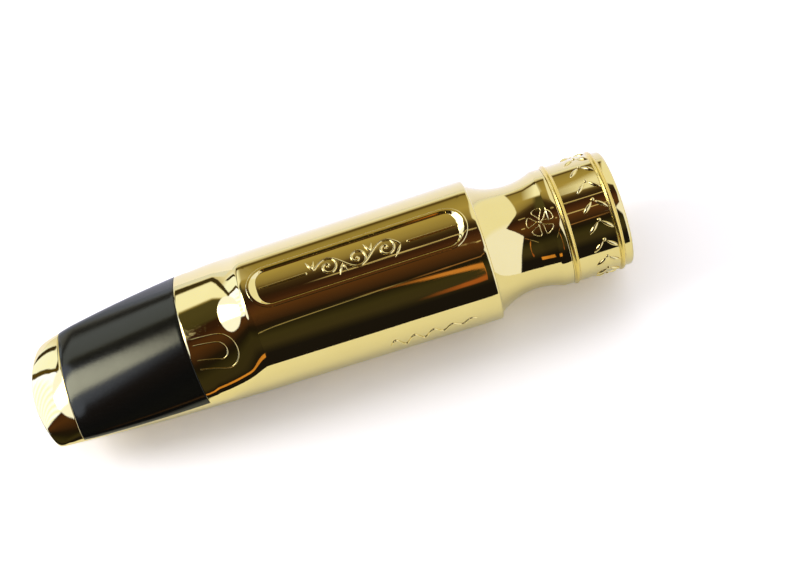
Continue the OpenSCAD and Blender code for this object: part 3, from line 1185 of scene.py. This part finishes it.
goldFinish = {
    "deep": (0.745, 0.60, 0.225, 1),
    "pale": (0.79, 0.655, 0.275, 1),
    "bead": (0.78, 0.58, 0.13, 1),
    "roughness": 0.015,
    "etchedRoughness": 0.13,
    "beadRoughness": 0.24,   # the collar's two beads are milled
    "cloudScale": 160,       # noise cells per metre, as all scales here
    "smudgeScale": 90,
    "smudge": 0.05,          # added where fingers have dulled the polish
    "waveScale": 230,
    "waviness": 0.0000016,   # metres, long waves that polishing leaves
    "scratchScale": (60, 5200, 5200),
    "scratchTurn": (0, 0.06, 0.04),
    "scratches": 0.0000003,
}


def goldPlate(name, roughness):
    # polished plate: clouds of two golds, dull smudges, waves under fine lines, and satin beads
    material = bpy.data.materials.new(name)
    net = Net(material)
    where = net.coords()
    cloud = net.noise(where, goldFinish["cloudScale"], 3)
    colour = net.mix(cloud, goldFinish["deep"], goldFinish["pale"])
    smudge = fade(net.noise(where, goldFinish["smudgeScale"], 4, 0.6), 0.56, 0.76)
    x = net.axes(where)[0]
    onBead = sum(fade(abs(x - middle * mm), 0.00058, 0.00046) for middle in beadX)
    colour = net.mix(onBead, colour, goldFinish["bead"])
    waves = net.bump(net.noise(where, goldFinish["waveScale"], 1), goldFinish["waviness"])
    lines = net.noise(net.coords(goldFinish["scratchScale"], goldFinish["scratchTurn"]), 1, 2)
    fine = net.bump((abs(lines - 0.5) * 9).clamped(), goldFinish["scratches"], under=waves)
    net.surface("ShaderNodeBsdfPrincipled", {
        "Base Color": colour, "Metallic": 1.0,
        "Roughness": smudge * goldFinish["smudge"] + onBead * goldFinish["beadRoughness"] + roughness,
        "Coat Weight": 0.6, "Coat Roughness": 0.02, "Normal": fine})
    return material


rubberFinish = {
    "dark": (0.0036, 0.0036, 0.0034, 1),
    "worn": (0.0056, 0.0056, 0.0050, 1),
    "shine": (0.95, 0.93, 0.66, 1),
    "roughness": 0.085,
    "cloudRoughness": 0.05,  # added where clouds and lines are
    "lineRoughness": 0.04,
    "lineScale": (120, 4200, 4200),
    "grain": 0.000004,       # metres, lines that finishing leaves along the plate
    "poreScale": 4200,
    "pores": 0.000002,
    "cloudScale": 240,
}


def plateRubber():
    # satin hard rubber: lines along the plate, pores between them, and clouds in the sheen
    material = bpy.data.materials.new("biteRubber")
    net = Net(material)
    where = net.coords()
    lines = net.noise(net.coords(rubberFinish["lineScale"]), 1, 3, 0.6)
    pores = net.noise(where, rubberFinish["poreScale"], 2)
    cloud = net.noise(where, rubberFinish["cloudScale"], 3)
    colour = net.mix(lines, rubberFinish["dark"], rubberFinish["worn"])
    grain = net.bump(pores, rubberFinish["pores"], under=net.bump(lines, rubberFinish["grain"]))
    dull = cloud * rubberFinish["cloudRoughness"] + lines * rubberFinish["lineRoughness"]
    net.surface("ShaderNodeBsdfPrincipled", {
        "Base Color": colour, "Roughness": dull + rubberFinish["roughness"],
        "Specular Tint": rubberFinish["shine"], "Normal": grain})
    return material


gold = goldPlate("goldPlate", goldFinish["roughness"])
etched = goldPlate("goldEtched", goldFinish["etchedRoughness"])
rubber = plateRubber()

print("body")
bodyPiece = addRaw("goldBody", buildBody())
print("closed before cutting:", int((facesPerEdge(bodyPiece.data) != 2).sum()), "open edges")
buildPassage(bodyPiece)
finishPiece(bodyPiece, gold, replaces="body")
print("bite plate")
addPiece("bitePlate", buildPlate(), rubber, replaces="bite_plate")
print("shank and collar")
addPiece("turnedShank", buildShank(), gold, replaces="shank")
addPiece("shankCollar", buildCollar(), gold, replaces="shank_collar")
print("ornaments")
for name, build in (("panelScroll", buildScroll), ("panelBars", buildBars), ("rampArches", buildArches),
                    ("collarBand", buildBand), ("neckFlower", buildFlower), ("sideWave", buildWave)):
    addPiece(name, build(), etched, sharpAngle=75)


camera = {
    "aim": -43.35,           # x of the place on the axis that the camera looks at
    "distance": 278.48,
    "elevation": 65.0,
    "yaw": 1.427,
    "pitch": -0.407,
    "roll": 17.679,
    "lens": 77.81,
}


def placed(data, columns):
    # puts a camera or a lamp in the scene: its right, its up, its back and its place
    holder = bpy.data.objects.new(data.name, data)
    bpy.context.scene.collection.objects.link(holder)
    matrix = np.eye(4)
    matrix[:3] = np.stack(columns, 1)
    holder.matrix_world = Matrix(matrix.tolist())
    return holder


def addCamera():
    data = bpy.data.cameras.new("camera")
    data.lens, data.sensor_width = camera["lens"], 36.0
    data.clip_start, data.clip_end = 0.01, 20.0
    e, y, q, r = (math.radians(camera[k]) for k in ("elevation", "yaw", "pitch", "roll"))
    right = np.array([1.0, 0, 0])
    ahead = np.array([0, math.cos(e), -math.sin(e)])
    up = np.array([0, math.sin(e), math.cos(e)])
    far = camera["distance"]
    place = np.array([camera["aim"], -far * math.cos(e), far * math.sin(e)]) * mm
    ahead, right = ahead * math.cos(y) + right * math.sin(y), right * math.cos(y) - ahead * math.sin(y)
    ahead, up = ahead * math.cos(q) + up * math.sin(q), up * math.cos(q) - ahead * math.sin(q)
    right, up = right * math.cos(r) - up * math.sin(r), right * math.sin(r) + up * math.cos(r)
    bpy.context.scene.camera = placed(data, (right, up, -ahead, place))


studio = {
    "sheetFront": 0.068,     # metres of paper in front of the axis
    "sheetLeft": 0.12,       # and past the tip, where the metal sees the room again
    "sheetBack": 0.9,
    "sheetSide": 0.9,
    "paperColour": 0.8,      # what the paper gives back to the object
    "paperSeen": (1.48, 1.44, 1.48, 1),    # what it shows the eye: white outside the shadow
    "paperNear": (1.10, 1.10, 1.0, 1),     # and what polished metal shows of it, near and far side
    "paperFar": (1.14, 1.17, 1.46, 1),
    # painted shade that polished metal sees in the paper before the beak and under the tip
    "paperPaintedShade": (0.02, 0.016, 0.012, 1),
    "plainLevel": 0.74,      # what the room gives to matt surfaces, and how much more from behind
    "plainSlope": 0.55,
    "tentLevel": 1.08,       # the white walls that polished metal shows
    "lampOver": (-0.0585, 0, 0),           # the place on the axis that the lamp faces
    "lampAim": (-0.785, 0.222, 0.578),
    "lampDistance": 0.6,
    "lampSize": (0.28, 0.27),
    "lampPower": 1.5,
}


def addFloor():
    z = bodyLow[2] * mm
    left, side = studio["sheetLeft"], studio["sheetSide"]
    front, back = studio["sheetFront"], studio["sheetBack"]
    corners = [(-left, -front, z), (side, -front, z), (side, back, z), (-left, back, z)]
    mesh = bpy.data.meshes.new("paper")
    mesh.from_pydata(corners, [], [(0, 1, 2, 3)])
    floor = bpy.data.objects.new("paper", mesh)
    bpy.context.scene.collection.objects.link(floor)
    material = bpy.data.materials.new("paper")
    net = Net(material)
    mirrored, seen = net.rays()
    x, y, _ = net.axes(net.coords())
    shown = net.mix(fade(y, -0.009, 0.021), studio["paperNear"], studio["paperFar"])
    # painted shade: in front of the beak and under the tip, what polished surfaces see of the paper is
    # painted dark
    before = fade(x, -0.078, -0.088) * fade(y, -0.022, -0.032)
    below = fade(x, -0.103, -0.109) * fade(y, 0.004, -0.004)
    shown = net.mix((before + below).clamped(), shown, studio["paperPaintedShade"])
    paper = net.mix(mirrored, (studio["paperColour"],) * 3 + (1,), shown)
    paper = net.mix(seen, paper, studio["paperSeen"])
    net.surface("ShaderNodeBsdfDiffuse", {"Color": paper})
    mesh.materials.append(material)


# What polished surfaces see of the room is a colour for each direction: x is its share along the
# axis, and turn its degrees about the axis from the top, towards the far side where it is positive.
darkBands = [
    (-112, (0.012, 0.010, 0.011)), (-82, (0.013, 0.011, 0.012)), (-76, (0.024, 0.020, 0.014)),
    (-66, (0.052, 0.043, 0.022)), (-54, (0.052, 0.045, 0.020)), (-45, (0.030, 0.026, 0.012)),
    (-40, (0.018, 0.014, 0.010)), (-33, (0.022, 0.014, 0.010)), (-26, (0.060, 0.028, 0.015)),
    (-14, (0.110, 0.046, 0.018)), (-6, (0.100, 0.040, 0.018)), (4, (0.050, 0.020, 0.012)),
    (12, (0.034, 0.018, 0.011)), (20, (0.055, 0.035, 0.018)), (26, (0.13, 0.09, 0.04)),
    (30, (0.27, 0.21, 0.09)), (36, (0.36, 0.29, 0.12)), (50, (0.49, 0.40, 0.15)),
    (66, (0.40, 0.33, 0.12)), (73, (0.35, 0.28, 0.10)), (75.5, (0.11, 0.075, 0.02)),
    (78.5, (0.13, 0.09, 0.03)), (81, (0.80, 0.76, 0.62)), (92, (1.0, 1.0, 1.0))]
# the turn of the dark line near the top, by x
topLine = [
    (-0.90, 40), (-0.75, 56), (-0.60, 69), (-0.45, 79), (-0.33, 84), (-0.12, 78), (0.2, 80), (1.0, 84)]
# the x at which the white walls begin, by turn
tentEdge = [
    (-112, 0.40), (-97, 0.40), (-80, 0.38), (-65, 0.35), (-52, 0.30), (-40, 0.24), (-27, 0.16),
    (-24, 0.18), (-12, 0.34), (-3, 0.48), (2, 0.53), (8, 0.42), (15, 0.30), (22, 0.18), (28, 0.13),
    (40, 0.13), (60, 0.16), (85, 0.20), (89, -0.5), (120, -0.5)]
# the x below which a white wall stands past the tip, by turn
wallEdge = [
    (-20, -0.75), (40, -0.74), (57, -0.73), (68, -0.77), (85, -0.79), (98, -0.793), (109, -0.775),
    (125, -0.74)]
roomTones = {
    "paler": (1.2, 1.28, 1.4, 1),          # the top of the dark side, towards the tip
    "shade": (0.09, 0.08, 0.035, 1),       # and what lies lower there
    "finger": (0.70, 0.29, 0.075, 1),
    "lowerFinger": (0.44, 0.13, 0.035, 1),
    "fingerEnd": (0.26, 0.085, 0.025, 1),
    "deep": (0.010, 0.008, 0.005, 1),
    "sky": (1.25, 1.42, 1.8, 1),
    "upperLine": (0.058, 0.043, 0.018, 1),
    "lowerLine": (0.05, 0.036, 0.014, 1),
    "wall": (1.5, 1.75, 3.3, 1),
    "wallRays": (1.28, 1.5, 1.95, 1),
    "wallRim": (0.10, 0.07, 0.02, 1),
    "boxRim": (1.3, 1.45, 2.2, 1),
    "boxMiddle": (8.5, 8.5, 8.5, 1),
}
# slim lines on the dark side: turn at x 0, lean, first x, last x, colour, half width in degrees
slimLines = [
    (-37.5, 50, -0.20, 0.012, (0.50, 0.43, 0.25), 0.5),
    (-37.0, 40, 0.010, 0.16, (0.42, 0.22, 0.10), 0.6),
    (10.0, 0, -0.045, 0.17, (0.75, 0.64, 0.42), 0.8),
    (-11.0, 0, 0.044, 0.17, (0.75, 0.64, 0.42), 0.8),
    (-82.0, 10, -0.46, -0.12, (0.85, 0.36, 0.07), 3.5),
    (82.0, 4, 0.18, 0.66, (0.45, 0.38, 0.15), 0.6),
    (-98.5, 0, 0.38, 0.64, (0.03, 0.02, 0.01), 1.3),
]


def darkSide(net, x, turn, line):
    # brown and olive bands: the low ones lean with x, the high ones follow the line near the top
    upper = fade(turn, 34, 64)
    leaning = turn + x * 27 * (1 - upper) * fade(turn, 5, 25) - (line - 77) * upper
    dark = net.ramp(leaning, darkBands, -112, 112)
    paler = fade(x, -0.08, -0.38) * fade(turn, 48, 52) * fade(leaning, 74, 72)
    dark = net.mix(paler, dark, roomTones["paler"])
    shade = fade(x, -0.30, -0.40) * fade(turn, 50, 46) * fade(turn, 14, 20)
    return net.mix(shade, dark, roomTones["shade"])


def orangeFingers(net, x, turn, dark):
    # a bent strip: the places at one distance from a leaning line, which meet in a round end
    middle = x * -75 - 55.5
    reach = 17.2 - x * 110
    past = net.math("MAXIMUM", (x - 0.048) * 530, 0.0)
    away = abs(((turn - middle) ** 2 + past ** 2) ** 0.5 - reach)
    thick = fade(x, -0.02, 0.06) * 4.2
    low = fade(turn - middle, 3, -3)
    strip = fade(away - thick, 1, -1) * fade(x, -0.025, 0.025)
    strip = strip * (1 - low * fade(x, 0.045, 0.015)) * fade(x, 0.2, 0.15)
    orange = net.mix(low, roomTones["finger"], roomTones["lowerFinger"])
    orange = net.mix(fade(x, 0.035, -0.015), orange, roomTones["fingerEnd"])
    return net.mix(strip, dark, orange)


def roomEdges(net, x, turn, dark):
    for place, lean, start, ending, tone, width in slimLines:
        apart = abs(turn - x * lean - place)
        on = fade(apart, width + 0.5, width - 0.5)
        on = on * fade(x, start, start + 0.02) * fade(x, ending, ending - 0.02)
        dark = net.mix(on, dark, (*tone, 1))
    deep = fade(x, -0.20, -0.32) * fade(turn, 34, 20) * 0.2
    return net.mix(deep, dark, roomTones["deep"])


def whiteWalls(net, x, turn, dark):
    # white walls on the shank's side, bluer overhead and low down
    level = studio["tentLevel"]
    tent = net.mix(fade(turn, 14, 2), (level, level * 1.03, level * 1.03, 1),
                   (level * 1.05, level * 1.12, level * 1.5, 1))
    tent = net.mix(fade(turn, 84, 92), tent, (level * 0.86, level * 0.93, level * 1.16, 1))
    edge = net.curve(turn, tentEdge, -112, 120, -1, 1)
    return net.mix(fade(x - edge, -0.0125, 0.0125), dark, tent)


def pastTheTip(net, x, turn, line, room):
    # what only the beak shows: pale sky over two dark lines, then a white wall with creamy rays
    sky = fade(x, -0.54, -0.64) * fade(turn - line, 2, 4)
    room = net.mix(sky, room, roomTones["sky"])
    upper = fade(x, -0.28, -0.31) * fade(x, -0.745, -0.735) * fade(abs(turn - line), 3.8, 2.6)
    room = net.mix(upper, room, roomTones["upperLine"])
    lower = fade(abs(x + 0.60 + (turn - 86) * 0.0026), 0.028, 0.020) * fade(turn, 81, 84)
    room = net.mix(lower, room, roomTones["lowerLine"])
    edge = net.curve(turn, wallEdge, -112, 130, -1, 1)
    wall = fade(x - edge, 0.005, -0.005) * fade(turn, 0.5, 3.5)
    rays = (net.math("SINE", turn * 0.45 + x * 85) + 1) * 0.5 * fade(x, -0.815, -0.865)
    room = net.mix(wall, room, net.mix(rays, roomTones["wall"], roomTones["wallRays"]))
    rim = fade(abs(x - edge), 0.022, 0.015) * fade(turn, 52, 56)
    return net.mix(rim, room, roomTones["wallRim"])


def roomSoftbox(net, x, turn, room):
    # the softbox: inside |a|^n + |b|^n = 1, bright in its middle
    box = abs((x + 0.737) / 0.16) ** 2.4 + abs((turn - 18) / 36) ** 2.4
    core = fade(turn, 5, 11) * fade(turn, 38, 32)
    shine = net.mix(core, roomTones["boxRim"], roomTones["boxMiddle"])
    return net.mix(fade(box, 1.06, 0.94), room, shine)


def addWorld():
    # white to the eye, a plain level to matt surfaces, and the room to polished ones
    world = bpy.data.worlds.new("studio")
    bpy.context.scene.world = world
    net = Net(world)
    where = net.node("ShaderNodeTexCoord", out="Generated")
    x, y, z = net.axes(where)
    turn = net.math("ARCTAN2", y, z) * (180 / math.pi)
    line = net.curve(x, topLine, -1, 1, -112, 112)
    room = roomEdges(net, x, turn, orangeFingers(net, x, turn, darkSide(net, x, turn, line)))
    room = whiteWalls(net, x, turn, room)
    room = pastTheTip(net, x, turn, line, room)
    room = roomSoftbox(net, x, turn, room)
    mirrored, seen = net.rays()
    soft = y * studio["plainSlope"] + studio["plainLevel"]
    plain = net.node("ShaderNodeCombineColor", None, {0: soft, 1: soft, 2: soft})
    colour = net.mix(mirrored, net.mix(seen, plain, (1, 1, 1, 1)), room)
    back = net.node("ShaderNodeBackground", None, {"Color": colour, "Strength": 1.0})
    net.node("ShaderNodeOutputWorld", None, {"Surface": back})


def addLamp():
    data = bpy.data.lights.new("softbox", "AREA")
    data.shape = "ELLIPSE"
    data.size, data.size_y = studio["lampSize"]
    data.energy = studio["lampPower"]
    back = np.array(studio["lampAim"]) / np.linalg.norm(studio["lampAim"])
    place = np.array(studio["lampOver"]) + back * studio["lampDistance"]
    side = np.cross([0, 1, 0], back)
    side /= np.linalg.norm(side)
    holder = placed(data, (side, np.cross(back, side), back, place))
    holder.visible_glossy = False   # polished metal sees the room's own softbox


print("studio")
addCamera()
addFloor()
addWorld()
addLamp()
bpy.context.scene.view_settings.view_transform = "Standard"
